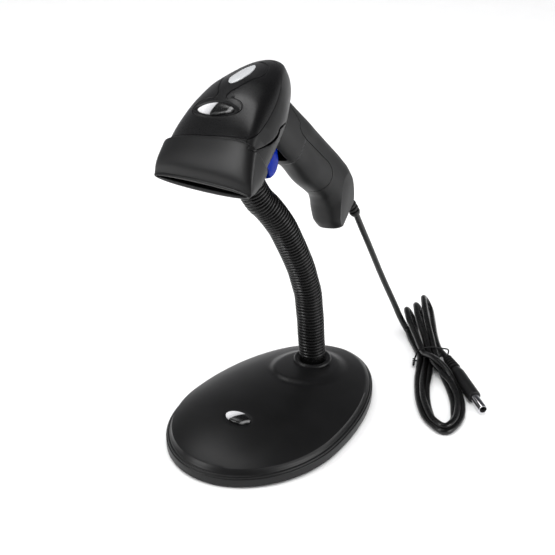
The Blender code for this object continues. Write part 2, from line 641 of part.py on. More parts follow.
def make_cord():
    tube("cable_span", smooth_curve([Vector(p) * MM for p in CORD_ROUTE], 5 * MM), CORD_RADIUS,
         CORD_BLACK)
    make_hank()
    make_plug()


clear_scene()
PARTS = collection("barcode_scanner")
CUTTERS = collection("cutters")
BLACK_SATIN = material("black_satin_plastic", (0.018, 0.018, 0.020), 0.45)
BLACK_PLASTIC = material("black_plastic", (0.012, 0.012, 0.013), 0.5)
RUBBER = material("black_rubber", (0.010, 0.010, 0.010), 0.7)
CORD_BLACK = material("cord_jacket", (0.012, 0.012, 0.012), 0.42)
BLUE = material("blue_trigger", (0.010, 0.045, 0.55), 0.18)
SILVER = material("silver_badge", (0.62, 0.62, 0.64), 0.15, 1.0)
PALE_LENS = material("pale_lens", (0.85, 0.86, 0.88), 0.2)
DARK_GLASS = material("scan_window_glass", (0.03, 0.005, 0.006), 0.05)
GREEN_BOARD = material("circuit_board", (0.02, 0.16, 0.06), 0.4)
STEEL = material("steel", (0.45, 0.45, 0.46), 0.35, 1.0)
NICKEL = material("nickel_plate", (0.72, 0.72, 0.74), 0.2, 1.0)
PALE_PLASTIC = material("pale_plastic", (0.75, 0.75, 0.72), 0.4)

SCANNER = bpy.data.objects.new("scanner_frame", None)
SCANNER.location = SCANNER_ORIGIN
SCANNER.rotation_euler = SCANNER_TURN
PARTS.objects.link(SCANNER)

make_base()
make_base_badge()
make_neck_foot()
make_neck()
make_cradle()
make_head()
make_head_details()
make_optics()
make_handle()
make_trigger()
make_electrics()
make_relief()
make_cord()
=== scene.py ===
"""Looks of the barcode scanner on its gooseneck stand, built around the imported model.

World frame: metres, +Z up, the stand on z = 0. The scanner's own pieces are drawn in a local frame
in millimetres, (x, y, n): -y is where it looks and n runs up from the handle through the head.
"""
import math

import bmesh
import bpy
from mathutils import Euler, Matrix, Vector


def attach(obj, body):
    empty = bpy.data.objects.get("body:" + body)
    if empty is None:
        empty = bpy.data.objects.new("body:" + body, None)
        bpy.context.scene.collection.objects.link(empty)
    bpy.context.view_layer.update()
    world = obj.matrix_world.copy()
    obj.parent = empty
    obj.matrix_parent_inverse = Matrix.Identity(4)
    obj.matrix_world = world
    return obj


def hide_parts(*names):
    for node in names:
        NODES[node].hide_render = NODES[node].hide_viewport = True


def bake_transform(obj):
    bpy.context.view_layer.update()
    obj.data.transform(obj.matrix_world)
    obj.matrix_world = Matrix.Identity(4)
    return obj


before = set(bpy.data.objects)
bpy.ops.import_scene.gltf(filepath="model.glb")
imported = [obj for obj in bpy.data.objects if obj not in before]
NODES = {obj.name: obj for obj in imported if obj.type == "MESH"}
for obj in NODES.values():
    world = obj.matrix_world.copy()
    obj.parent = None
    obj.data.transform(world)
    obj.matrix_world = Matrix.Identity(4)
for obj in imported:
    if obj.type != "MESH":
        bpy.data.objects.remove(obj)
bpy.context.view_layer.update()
MM = 0.001

# ---------------------------------------------------------------- measures, in millimetres
SCANNER_ORIGIN = Vector((-19.8, 21.6, 153.4)) * MM
SCANNER_TURN = (math.radians(26.43), math.radians(-13.354), math.radians(-3.752))
TO_WORLD = (Matrix.Translation(SCANNER_ORIGIN) @ Euler(SCANNER_TURN, "XYZ").to_matrix().to_4x4()
            @ Matrix.Scale(MM, 4))
WALL = 2.2
GAP = 0.3

# Head sections: y, underside, widest level, top, half width, squareness above and below
HEAD = (
    (-30.9, 25.3, 30.8, 35.3, 36.6, 1.9, 2.1), (-28.0, 21.6, 33.0, 39.8, 36.6, 2.3, 2.7),
    (-24.0, 19.7, 35.4, 43.2, 36.2, 2.6, 3.4), (-19.0, 18.6, 37.6, 46.3, 35.7, 2.8, 4.1),
    (-15.0, 18.3, 39.2, 48.4, 35.4, 2.9, 4.4), (-12.4, 18.2, 40.2, 49.7, 35.2, 2.85, 4.4),
    (-11.9, 18.2, 40.3, 49.9, 34.8, 2.75, 4.4), (-11.3, 18.2, 40.4, 50.0, 32.7, 2.6, 4.4),
    (-10.8, 18.2, 40.5, 50.2, 32.4, 2.55, 4.4), (-4.0, 18.4, 41.6, 52.4, 31.9, 2.5, 4.4),
    (4.5, 18.6, 42.6, 54.4, 30.8, 2.4, 4.3), (16.0, 18.4, 43.2, 56.2, 28.8, 2.25, 3.9),
    (28.0, 18.0, 43.2, 55.4, 26.2, 2.2, 3.2), (38.0, 18.0, 42.8, 52.6, 22.8, 2.15, 2.6),
    (48.0, 18.5, 42.0, 49.2, 18.0, 2.1, 2.3), (55.5, 21.0, 40.0, 46.0, 13.0, 2.1, 2.1),
    (60.0, 26.0, 38.0, 42.6, 8.0, 2.0, 2.0), (61.6, 30.6, 36.8, 40.0, 4.2, 2.0, 2.0),
    (62.2, 34.6, 36.4, 38.0, 0.9, 2.0, 2.0),
)
# The hood droops to its left side: twist about local y and skew, growing from y = -6 to -29
HOOD_TWIST = math.radians(6.5)
HOOD_SKEW = math.tan(math.radians(4.0))
HOOD_RANGE = (-6.0, -29.0)
HOOD_AXIS = 35.0
LIP = 2.7
LIP_STEPS = 8
LIP_BULGE = 1.5
HEAD_HOLLOW_END = 58.0
HEAD_SIDES = 112
SEAM = ((-11.4, 120.0), (-11.0, 50.0), (-9.5, 46.0))
SPLIT = ((-9.5, 46.0), (-2.8, 44.0), (5.6, 42.7), (12.4, 42.1), (21.7, 41.8), (29.3, 42.3),
         (37.4, 43.2), (43.5, 44.4), (52.0, 45.0), (90.0, 45.0))
CRESCENT = ((-9.5, 46.0), (-15.0, 44.5), (-14.3, 41.7), (-9.0, 38.4), (-4.1, 35.6), (3.6, 32.1),
            (10.0, 30.4), (16.0, 30.8), (24.0, 27.0), (30.0, 12.0), (30.0, 0.0))
CRESCENT_GAPS = (0.15, 0.15, 0.2, 0.4, 0.7, 1.4, 1.9, 1.7, 0.9, 0.3, 0.3)
GROOVE_HALF = ((0.0, 52.5), (9.0, 48.5), (13.0, 43.0), (14.4, 36.0), (12.0, 31.4), (7.3, 22.0),
               (5.5, 20.0), (3.9, 16.0), (5.4, 13.2), (10.0, 13.2), (15.4, 11.6), (18.2, 8.8),
               (18.4, 6.0), (15.2, 2.8), (9.0, 0.6), (0.0, -0.3))
GROOVE_RADIUS = 0.55
OUTLINE_SIDES = 72
LENS_Y = (25.8, 48.0)
LENS_HALF = 5.3
EYE_CENTRE_Y = 5.9
EYE_SIZE = (13.7, 3.9)
EYE_DISH_SIZE = (17.6, 5.8)
# Sections of the details on the cover: share of the outline, height above the cover
EYE_DISH = ((0.05, 3.0), (0.6, 3.0), (1.06, 2.0), (1.0, 0.0), (0.93, -0.45), (0.82, -0.72),
            (0.5, -0.8), (0.05, -0.8))
EYE_DOME = ((0.05, -0.7), (0.6, -0.7), (0.96, -0.7), (1.0, -0.5), (1.0, 0.0), (0.97, 0.25),
            (0.9, 0.45), (0.7, 0.7), (0.4, 0.85), (0.05, 0.9))
LENS_SEAT = ((0.05, 2.0), (1.0, 2.0), (1.0, -0.7), (0.05, -0.7))
LENS_DOME = ((0.05, -0.6), (1.0, -0.6), (1.0, 0.15), (0.96, 0.4), (0.85, 0.6), (0.6, 0.8),
             (0.3, 0.88), (0.05, 0.9))

# Handle sections: n, front, back, half width, squareness, slant of the section. The butt has a
# flat face on each side, given by its normal and a point of it on the +x side.
HANDLE = (
    (34.0, 18.5, 47.5, 14.5, 2.8, 0.0), (12.0, 22.0, 51.6, 14.4, 3.0, 0.08),
    (-2.0, 24.4, 55.0, 14.2, 2.9, 0.14), (-14.0, 27.6, 58.2, 13.6, 2.5, 0.18),
    (-30.0, 31.4, 61.9, 13.4, 2.3, 0.22), (-43.0, 35.4, 64.6, 13.5, 2.3, 0.16),
    (-49.0, 36.6, 65.2, 13.8, 2.35, 0.13), (-54.0, 35.6, 64.6, 14.2, 2.4, 0.12),
    (-60.0, 33.0, 62.6, 14.6, 2.6, 0.10), (-66.0, 30.6, 59.6, 14.2, 2.8, 0.10),
    (-70.0, 30.6, 57.0, 13.0, 2.9, 0.10), (-72.0, 32.0, 55.0, 11.4, 3.0, 0.10),
)
HANDLE_SIDES = 80
HANDLE_STEP = 0.9
HOLLOW_END = -41.0
FACET_NORMAL = (0.94, 0.10, -0.24)
FACET_PLACE = (14.3, 52.3, -45.6)
OPENING_HALF_WIDTH = 7.2
OPENING_Y = (-5.0, 29.6)
OPENING_N = (-6.2, 70.0)
CREASE_START = (26.0, -10.5)
CREASE_SLOPE = 0.55
CREASE_DEPTH = 1.5
GRIP_SEAM = ((44.6, 60.0), (43.8, 12.5), (41.4, 6.6), (40.4, 0.0), (43.0, -11.4), (45.8, -22.7),
             (47.4, -29.6), (46.8, -34.8), (44.4, -38.4), (39.6, -41.4), (20.0, -45.0))
TRIGGER_OUTLINE = ((14.6, 17.2), (12.2, 9.0), (10.4, 2.0), (8.6, -3.4), (10.0, -5.6), (15.0, -5.8),
                   (20.5, -3.0), (24.5, 3.0), (29.4, 8.6), (30.0, 14.0), (26.4, 17.2))
TRIGGER_CENTRE = (19.0, 6.0)
TRIGGER_HALF_WIDTH = 6.0
# Roundness of the trigger's sides: share of the half width, scale of the outline
TRIGGER_SIDE = ((0.0, 1.01), (0.4, 1.0), (0.7, 0.975), (0.88, 0.93), (0.97, 0.86), (1.0, 0.78))
RELIEF_ROUTE = ((52.8, -69.3), (55.0, -72.2), (56.6, -76.0), (57.0, -81.0), (56.8, -86.6))
RELIEF_RIBS = 5

# Neck centreline in the vertical plane through NECK_LEAN: distance, height
NECK_Y = 57.75
NECK_LEAN = Vector((-0.4539, -0.8911, 0.0))
NECK_LINE = ((0.2, 26.4), (1.2, 38.1), (1.9, 50.7), (2.9, 60.5), (3.9, 70.2), (6.6, 80.8),
             (9.2, 90.0), (13.3, 100.6), (17.3, 109.9), (21.7, 119.6), (25.0, 125.4),
             (28.4, 130.7), (33.2, 137.3), (37.8, 142.6), (42.4, 150.6), (44.4, 155.2))
NECK_PIVOTS = ((2.6, 56.0), (7.5, 84.5), (17.8, 110.8), (29.8, 131.9))
HOSE_RADII = (8.5, 9.2)
NECK_STEP = 0.1
HOSE_SIDES = 44
RIDGE = 2.2
RIDGE_DEPTH = 1.15
# One ridge of the hose: place along it, share of the depth
RIDGE_SHAPE = ((0.0, 1.0), (0.1, 0.72), (0.24, 0.18), (0.4, 0.0), (0.6, 0.0), (0.76, 0.18), (0.9, 0.72))

# Base
BASE_FRONT = 65.7
BASE_REAR = 98.9
BASE_HALF_WIDTH = 53.6
BASE_RIM_HEIGHT = 8.8
BASE_DOME_HEIGHT = 13.6
BASE_DOME_POWER = 0.8
BASE_WALL = 2.4
BASE_SIDES = 160
BASE_RINGS = 58
# Rim with its moulded lines: inset, height
BASE_RIM = ((2.4, 6.4), (2.4, 1.0), (0.35, 1.0), (0.0, 1.35), (0.0, 5.9), (0.15, 6.3), (0.5, 6.5),
            (0.75, 6.55), (0.85, 6.9), (0.95, 7.35), (1.25, 7.65), (1.75, 7.8), (2.0, 7.85),
            (2.15, 8.25), (2.5, 8.75), (3.1, 9.35))
# Plateau around the neck: centre x and y, half width, half length; then its height
PLATEAU = (0.0, 52.5, 22.5, 27.0)
PLATEAU_HEIGHT = 1.7
# Collar: radius, height
COLLAR = ((8.0, 20.3), (11.7, 20.3), (12.1, 21.0), (12.0, 22.0), (11.2, 22.9), (10.2, 23.0),
          (9.2, 22.4), (8.6, 21.6), (8.0, 21.4))
BADGE_Y = -23.9
BADGE_HALF = (8.4, 4.8)
BADGE_DISH = (10.5, 7.0, 0.35)
BADGE_DOME = ((0.97, 0.0), (1.0, 0.2), (1.0, 0.8), (0.97, 1.05), (0.9, 1.3), (0.75, 1.6), (0.5, 1.85),
              (0.25, 1.97), (0.04, 2.0))

# Cord
CORD_RADIUS = 2.0
CORD_ROUTE = ((-1.9, 110.6, 101.9), (-0.6, 115.4, 91.0), (1.4, 122.8, 75.0), (4.2, 135.6, 48.0),
              (8.6, 145.9, 24.0), (11.4, 149.2, 13.5), (15.0, 150.6, 6.2), (18.6, 149.6, 2.8))
HANK_TOP = Vector((2.0, 194.0, 0.0))
HANK_BOTTOM = Vector((96.5, 54.0, 0.0))
CORD_CUTS = (0.27, 0.4525, 0.635, 0.8175)
TIE_STEPS = 7
PLUG_RADIUS = 4.3
PLUG_START = (58.6, 131.8)
PLUG_END = (107.8, 89.5)
PLUG_RIBS = 5
PLUG_RIB_PITCH = 3.0
TIE_PLACE = 77.6
# The hank, in (distance along it, to its left, height), strand by strand
LANDING = ((54.0, 9.9, 2.1), (66.0, 7.6, 2.1))
HANK_ROUTE = (
    (78.6, 5.6, 2.1), (92, 7.4, 2.1), (104, 9.2, 2.1), (116, 10.2, 2.1), (131, 10.5, 2.1),
    (148, 8.4, 2.1), (160, 2.8, 2.1), (165.6, -3.1, 2.1), (160, -9.6, 2.1), (148, -15.2, 2.1),
    (131, -16.8, 2.2), (116, -14.2, 4.2), (104, -8.8, 9.6), (92, -2.0, 10.2), (79, 3.6, 6.6),
    (62, 7.2, 9.0), (48, 10.4, 12.0), (37, 11.6, 13.0), (31, 11.2, 11.8), (28.0, 8.9, 7.5),
    (31, 6.3, 3.2), (37, 5.7, 2.1), (48, 5.7, 2.1), (62, 4.2, 2.1),
    (79, 1.6, 2.1), (92, 3.8, 2.4), (104, 5.8, 3.2), (116, 7.2, 4.0), (131, 7.7, 4.3),
    (148, 5.6, 4.4), (157.2, 2.4, 4.4), (162.8, -3.1, 4.4), (157.2, -8.7, 4.4), (148, -12.0, 4.4),
    (131, -13.9, 4.4), (116, -11.4, 6.2), (104, -6.6, 6.6), (92, -2.6, 6.2), (79, -0.4, 5.8),
    (62, 1.6, 8.6), (45, 4.2, 12.0), (31, 4.8, 13.0), (24.6, 4.4, 11.8), (21.4, 2.1, 7.5),
    (24.6, -0.5, 3.2), (31, -1.1, 2.1), (45, -0.8, 2.1), (62, -1.0, 2.1),
    (79, -2.4, 2.1), (92, -0.2, 2.1), (104, 1.9, 2.1), (116, 4.0, 2.1), (131, 4.9, 2.1),
    (144, 4.4, 2.1), (153.8, 2.6, 2.1), (159.6, -3.1, 2.1), (153.8, -8.8, 2.1), (144, -10.4, 2.1),
    (131, -11.1, 2.1), (116, -9.9, 2.1), (104, -8.0, 2.2), (92, -6.2, 3.4), (79, -4.4, 5.8),
    (62, -3.0, 8.2), (45, -1.6, 11.4), (30, -1.2, 12.8), (20.6, -1.2, 13.0), (14.2, -1.7, 11.8),
    (11.0, -4.1, 7.5), (14.2, -6.6, 3.2), (20.6, -7.1, 2.1), (35, -7.0, 2.1), (50, -6.9, 2.1),
    (62, -7.6, 2.1), (70, -8.8, 2.4), (78, -10.8, 3.5), (83.2, -12.1, 4.3), (86.0, -12.9, 4.3),
)

# Camera, and softboxes: name, place, target, size, watts, whether reflections show them
CAMERA_PLACE = (0.43094, -0.61052, 0.51209)
CAMERA_TARGET = (-0.01682, 0.04255, 0.08215)
CAMERA_LENS = 94.3
SOFTBOXES = (
    ("overhead", (0.0, 0.1, 1.3), (0, 0.1, 0), (2.6, 2.6), 36.0, False),
    ("top_strip", (-0.36, 0.08, 1.08), (0, 0.03, 0.15), (0.3, 0.9), 3.2, True),
    ("left_front_box", (-0.52, -0.72, 0.66), (0, 0.0, 0.15), (0.36, 0.5), 4.4, True),
    ("right_box", (0.95, 0.16, 0.36), (0, 0.03, 0.15), (0.8, 0.4), 5.5, True),
)
SKY = ((0.0, (0.50, 0.50, 0.51)), (0.25, (0.28, 0.28, 0.29)), (0.55, (0.08, 0.08, 0.085)),
       (0.85, (0.03, 0.03, 0.035)))


# ---------------------------------------------------------------- curves and meshes
CURVE_STEPS = 24


def smooth_curve(points, step):
    """Points one step apart on a Catmull-Rom curve through given points."""
    pts = [Vector(p) for p in points]
    pts = [2 * pts[0] - pts[1]] + pts + [2 * pts[-1] - pts[-2]]
    fine = []
    for p0, p1, p2, p3 in zip(pts, pts[1:], pts[2:], pts[3:]):
        for i in range(CURVE_STEPS):
            t = i / CURVE_STEPS
            fine.append(0.5 * (2 * p1 + (p2 - p0) * t + (2 * p0 - 5 * p1 + 4 * p2 - p3) * t ** 2
                               + (3 * p1 - p0 - 3 * p2 + p3) * t ** 3))
    fine.append(pts[-2])
    lengths = [0.0]
    for a, b in zip(fine, fine[1:]):
        lengths.append(lengths[-1] + (b - a).length)
    count = max(2, round(lengths[-1] / step))
    kept, k = [], 0
    for i in range(count + 1):
        want = lengths[-1] * i / count
        while k < len(fine) - 2 and lengths[k + 1] < want:
            k += 1
        share = (want - lengths[k]) / max(1e-12, lengths[k + 1] - lengths[k])
        kept.append(fine[k].lerp(fine[k + 1], min(1.0, share)))
    return kept


def smooth_loop(points, step):
    """The same through a closed row of points."""
    count = len(points)
    wrapped = [points[i % count] for i in range(-2, count + 3)]
    fine = smooth_curve(wrapped, step)
    first = min(range(len(fine) // 2), key=lambda i: (fine[i] - Vector(points[0])).length)
    last = max(range(len(fine) // 2, len(fine)), key=lambda i: -(fine[i] - Vector(points[0])).length)
    return fine[first:last]


def steady(rows, t):
    """Row of numbers at place t between rows, without overshoot."""
    i = min(len(rows) - 2, max(0, int(t)))
    u = t - i
    out = []
    for c in range(len(rows[0])):
        v = [row[c] for row in rows]
        step = v[i + 1] - v[i]

        def slope(k):
            if k == 0 or k == len(rows) - 1:
                return v[1] - v[0] if k == 0 else v[-1] - v[-2]
            before, after = v[k] - v[k - 1], v[k + 1] - v[k]
            return 0.0 if before * after <= 0 else 2 * before * after / (before + after)

        m0, m1 = slope(i), slope(i + 1)
        out.append(v[i] + u * m0 + u * u * (3 * step - 2 * m0 - m1)
                   + u ** 3 * (m0 + m1 - 2 * step))
    return out


def place_on(rows, value):
    """Place t where the first column of steady() reaches a value; the column only rises or falls."""
    low, high = 0.0, len(rows) - 1.0
    rising = rows[-1][0] > rows[0][0]
    for _ in range(40):
        middle = (low + high) / 2
        if (steady(rows, middle)[0] < value) == rising:
            low = middle
        else:
            high = middle
    return low


def superellipse(angle, half, low, level, high, power, low_power=None):
    """Point (across, along) of an outline with its widest level between low and high."""
    c, s = math.cos(angle), math.sin(angle)
    reach = (high if s > 0 else low) - level
    power = low_power if low_power and s < 0 else power
    return (half * math.copysign(abs(c) ** (2 / power), c), level + abs(s) ** (2 / power) * reach)


def circle(sides):
    return [2 * math.pi * i / sides for i in range(sides)]


def skin(name, rings, loop=False):
    """A closed surface over a row of rings; with loop the last ring joins the first."""
    bm = bmesh.new()
    rows = [[bm.verts.new(p) for p in ring] for ring in rings]
    pairs = list(zip(rows, rows[1:]))
    if loop:
        pairs.append((rows[-1], rows[0]))
    for low, high in pairs:
        for i in range(len(low)):
            j = (i + 1) % len(low)
            bm.faces.new((low[i], low[j], high[j], high[i]))
    if not loop:
        bm.faces.new(list(reversed(rows[0])))
        bm.faces.new(rows[-1])
    bmesh.ops.recalc_face_normals(bm, faces=bm.faces)
    mesh = bpy.data.meshes.new(name)
    bm.to_mesh(mesh)
    bm.free()
    obj = bpy.data.objects.new(name, mesh)
    bpy.context.scene.collection.objects.link(obj)
    return obj


def local_skin(name, rings):
    """Closed surface from rings in the scanner's own coordinates."""
    return skin(name, [[TO_WORLD @ Vector(p) for p in ring] for ring in rings])


def tube_rings(points, radii, sides, first=Vector((0.123, 0.456, 0.881)), closed=False):
    """Rings around a line, turned as little as possible from one to the next.

    first is any direction that the line's start doesn't run along."""
    rings, across, count = [], first, len(points)
    for i, point in enumerate(points):
        if closed:
            run = points[(i + 1) % count] - points[i - 1]
        else:
            run = points[min(count - 1, i + 1)] - points[max(0, i - 1)]
        run.normalize()
        across = (across - run * across.dot(run)).normalized()
        other = run.cross(across)
        radius = radii[i] if isinstance(radii, (list, tuple)) else radii
        rings.append([point + radius * (math.cos(a) * across + math.sin(a) * other)
                      for a in circle(sides)])
    return rings


def lathe(name, profile, place, sides=48):
    """Turn a profile of (radius, height); one that starts off the axis closes on itself."""
    rings = [[place @ Vector((max(r, 1e-5) * math.cos(a), max(r, 1e-5) * math.sin(a), z))
              for a in circle(sides)] for r, z in profile]
    loop = profile[0][0] > 0.001 * MM
    return skin(name, rings, loop)


def rounded(profile, radius, steps=3):
    """Round the inner corners of an open profile."""
    out = [Vector(profile[0])]
    for before, corner, after in zip(profile, profile[1:], profile[2:]):
        a, b, c = Vector(before), Vector(corner), Vector(after)
        cut = min(radius, (a - b).length * 0.45, (c - b).length * 0.45)
        start, end = b + (a - b).normalized() * cut, b + (c - b).normalized() * cut
        for i in range(steps + 1):
            t = i / steps
            out.append((1 - t) ** 2 * start + 2 * t * (1 - t) * b + t ** 2 * end)
    out.append(Vector(profile[-1]))
    return [(p.x, p.y) for p in out]


def apply_modifiers(obj):
    graph = bpy.context.evaluated_depsgraph_get()
    mesh = bpy.data.meshes.new_from_object(obj.evaluated_get(graph))
    obj.modifiers.clear()
    old = obj.data
    obj.data = mesh
    bpy.data.meshes.remove(old)


def carve(obj, cutter, operation="DIFFERENCE", keep=False):
    mod = obj.modifiers.new("carve", "BOOLEAN")
    mod.operation = operation
    mod.solver = "EXACT"
    mod.object = cutter
    apply_modifiers(obj)
    if not keep:
        bpy.data.objects.remove(cutter, do_unlink=True)


def soften(obj, width, segments=2, angle=38):
    mod = obj.modifiers.new("edges", "BEVEL")
    mod.width = width * MM
    mod.segments = segments
    mod.limit_method = "ANGLE"
    mod.angle_limit = math.radians(angle)
    mod.use_clamp_overlap = True
    apply_modifiers(obj)


def copy_of(obj, name):
    twin = bpy.data.objects.new(name, obj.data.copy())
    bpy.context.scene.collection.objects.link(twin)
    return twin


def dress(obj, mat, body, nodes, sharp=32):
    """Give a piece its material, shading and body, and hide the model's nodes it stands for."""
    obj.data.materials.clear()
    obj.data.materials.append(mat)
    obj.data.shade_smooth()
    obj.data.set_sharp_from_angle(angle=math.radians(sharp))
    if body:
        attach(obj, body)
    if nodes:
        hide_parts(*nodes)
    return obj


# ---------------------------------------------------------------- materials
MOTTLE_SCALE = 60.0
GRAIN_DEPTH = 0.00003


def start_material(name, roughness, metallic, coat, coat_roughness=0.1, specular=0.5):
    mat = bpy.data.materials.new(name)
    mat.use_nodes = True
    shader = mat.node_tree.nodes["Principled BSDF"]
    shader.inputs["Roughness"].default_value = roughness
    shader.inputs["Metallic"].default_value = metallic
    shader.inputs["Coat Weight"].default_value = coat
    shader.inputs["Coat Roughness"].default_value = coat_roughness
    shader.inputs["Specular IOR Level"].default_value = specular
    return mat, mat.node_tree.nodes, mat.node_tree.links, shader


def noise_node(nodes, links, scale, detail=3.0):
    coords = nodes.new("ShaderNodeTexCoord")
    noise = nodes.new("ShaderNodeTexNoise")
    noise.inputs["Scale"].default_value = scale
    noise.inputs["Detail"].default_value = detail
    links.new(coords.outputs["Object"], noise.inputs["Vector"])
    return noise.outputs["Fac"]


def ramp_node(nodes, links, source, stops):
    ramp = nodes.new("ShaderNodeValToRGB")
    elements = ramp.color_ramp.elements
    while len(elements) < len(stops):
        elements.new(0.5)
    for element, (place, colour) in zip(elements, stops):
        element.position = place
        element.color = (*colour, 1.0)
    links.new(source, ramp.inputs["Fac"])
    return ramp.outputs["Color"]


def range_node(nodes, links, source, low, high, out_low, out_high):
    node = nodes.new("ShaderNodeMapRange")
    for key, value in (("From Min", low), ("From Max", high), ("To Min", out_low), ("To Max", out_high)):
        node.inputs[key].default_value = value
    links.new(source, node.inputs["Value"])
    return node.outputs["Result"]


def bump_node(nodes, links, source, shader, strength, distance):
    bump = nodes.new("ShaderNodeBump")
    bump.inputs["Strength"].default_value = strength
    bump.inputs["Distance"].default_value = distance
    links.new(source, bump.inputs["Height"])
    links.new(bump.outputs["Normal"], shader.inputs["Normal"])


def moulded(name, colour, roughness, grain_scale=2600.0, grain=0.25, spread=0.05, metallic=0.0,
            coat=0.0, coat_roughness=0.1, specular=0.5, mottle=0.12):
    """Plastic, rubber or metal with a fine grain, a slow change of tone and uneven gloss."""
    mat, nodes, links, shader = start_material(name, roughness, metallic, coat, coat_roughness,
                                                specular)
    slow = noise_node(nodes, links, MOTTLE_SCALE, 4.0)
    darker = [c * (1 - mottle) for c in colour]
    lighter = [min(1.0, c * (1 + mottle)) for c in colour]
    tone = ramp_node(nodes, links, slow, ((0.35, darker), (0.65, lighter)))
    links.new(tone, shader.inputs["Base Color"])
    fine = noise_node(nodes, links, grain_scale, 2.0)
    links.new(range_node(nodes, links, fine, 0.3, 0.7, roughness - spread, roughness + spread),
              shader.inputs["Roughness"])
    bump_node(nodes, links, fine, shader, grain, GRAIN_DEPTH)
    return mat


def painted_reflection_badge_material(name, axis, centre, width):
    """Badge with a painted reflection: bright on one side of a slanted line and black on the other."""
    mat, nodes, links, shader = start_material(name, 0.26, 0.0, 0.0, 0.05)
    coords = nodes.new("ShaderNodeTexCoord")
    dot = nodes.new("ShaderNodeVectorMath")
    dot.operation = "DOT_PRODUCT"
    dot.inputs[1].default_value = axis
    links.new(coords.outputs["Object"], dot.inputs[0])
    middle = axis.dot(centre)
    share = range_node(nodes, links, dot.outputs["Value"], middle - width, middle + width, 0.0, 1.0)
    # Painted reflection: pale grey darkening towards the slanted line, black past it, and a thin grey
    # band near the far end as a painted highlight.
    stops = ((0.0, (0.74, 0.74, 0.75)), (0.30, (0.64, 0.64, 0.65)), (0.485, (0.40, 0.40, 0.41)),
             (0.51, (0.004, 0.004, 0.004)), (0.84, (0.004, 0.004, 0.004)), (0.87, (0.13, 0.13, 0.13)),
             (0.92, (0.18, 0.18, 0.18)), (0.95, (0.01, 0.01, 0.01)))
    links.new(ramp_node(nodes, links, share, stops), shader.inputs["Base Color"])
    fine = noise_node(nodes, links, 900.0)
    links.new(range_node(nodes, links, fine, 0.3, 0.7, 0.22, 0.32), shader.inputs["Roughness"])
    return mat


def lens_material():
    """Pale diffusing lens with fine lines moulded across it."""
    mat, nodes, links, shader = start_material("lens_white", 0.25, 0.0, 0.5, 0.1)
    coords = nodes.new("ShaderNodeTexCoord")
    wave = nodes.new("ShaderNodeTexWave")
    wave.inputs["Scale"].default_value = 260.0
    wave.inputs["Distortion"].default_value = 0.4
    links.new(coords.outputs["Object"], wave.inputs["Vector"])
    stops = ((0.0, (0.38, 0.39, 0.40)), (1.0, (0.56, 0.57, 0.58)))
    links.new(ramp_node(nodes, links, wave.outputs["Fac"], stops), shader.inputs["Base Color"])
    bump_node(nodes, links, wave.outputs["Fac"], shader, 0.15, 0.0001)
    return mat


def board_material():
    """Green circuit board with lighter tracks."""
    mat, nodes, links, shader = start_material("board_green", 0.4, 0.0, 0.4)
    coords = nodes.new("ShaderNodeTexCoord")
    bricks = nodes.new("ShaderNodeTexBrick")
    bricks.inputs["Scale"].default_value = 120.0
    bricks.inputs["Mortar Size"].default_value = 0.06
    bricks.inputs["Color1"].default_value = (0.012, 0.11, 0.04, 1)
    bricks.inputs["Color2"].default_value = (0.018, 0.15, 0.055, 1)
    bricks.inputs["Mortar"].default_value = (0.05, 0.30, 0.12, 1)
    links.new(coords.outputs["Object"], bricks.inputs["Vector"])
    links.new(bricks.outputs["Color"], shader.inputs["Base Color"])
    return mat


SATIN = moulded("satin_black", (0.0060, 0.0060, 0.0062), 0.38, specular=0.32)
HANDLE_SATIN = moulded("handle_black", (0.0075, 0.0075, 0.0077), 0.44, grain=0.35, specular=0.32)
GLOSSY = moulded("glossy_black", (0.0040, 0.0040, 0.0042), 0.29, grain=0.06, spread=0.03, specular=0.42)
BASE_BLACK = moulded("base_black", (0.0050, 0.0050, 0.0052), 0.38, grain=0.3, specular=0.30)
HOSE_BLACK = moulded("hose_black", (0.0025, 0.0025, 0.0025), 0.27, grain=0.1, specular=0.42)
RUBBER = moulded("rubber_black", (0.0050, 0.0050, 0.0050), 0.50, 1500.0, 0.4, specular=0.3)
JACKET = moulded("cord_black", (0.0030, 0.0030, 0.0030), 0.30, 1200.0, 0.12, specular=0.40)
INNER = moulded("inner_black", (0.0040, 0.0040, 0.0040), 0.6, specular=0.2)
BLUE = moulded("trigger_blue", (0.0005, 0.016, 0.26), 0.13, grain=0.03, spread=0.02, specular=0.25,
               mottle=0.06)
STEEL = moulded("brushed_steel", (0.45, 0.45, 0.46), 0.32, 900.0, 0.2, metallic=1.0, mottle=0.08)
NICKEL = moulded("nickel", (0.66, 0.66, 0.68), 0.2, 900.0, 0.08, metallic=1.0, mottle=0.06)
PALE = moulded("pale_plastic", (0.66, 0.66, 0.62), 0.4, mottle=0.05)
GLASS = moulded("dark_window", (0.02, 0.002, 0.003), 0.06, 300.0, 0.0, spread=0.02, coat=1.0,
                coat_roughness=0.03)
CLEAR = moulded("light_lens", (0.55, 0.12, 0.10), 0.15, 600.0, 0.05, spread=0.05, coat=0.8)
LENS = lens_material()
BOARD = board_material()


# ---------------------------------------------------------------- camera, floor and lights
def aim_at(obj, target):
    obj.rotation_euler = (Vector(target) - obj.location).to_track_quat("-Z", "Y").to_euler()


def make_camera():
    data = bpy.data.cameras.new("camera")
    data.sensor_width = 36.0
    data.lens = CAMERA_LENS
    camera = bpy.data.objects.new("camera", data)
    camera.location = CAMERA_PLACE
    bpy.context.scene.collection.objects.link(camera)
    aim_at(camera, CAMERA_TARGET)
    bpy.context.scene.camera = camera


def make_floor():
    bm = bmesh.new()
    bmesh.ops.create_grid(bm, x_segments=1, y_segments=1, size=6.0)
    mesh = bpy.data.meshes.new("floor")
    bm.to_mesh(mesh)
    bm.free()
    floor = bpy.data.objects.new("floor", mesh)
    bpy.context.scene.collection.objects.link(floor)
    mesh.materials.append(moulded("floor_white", (0.92, 0.92, 0.92), 0.7, 40.0, 0.0, mottle=0.005))


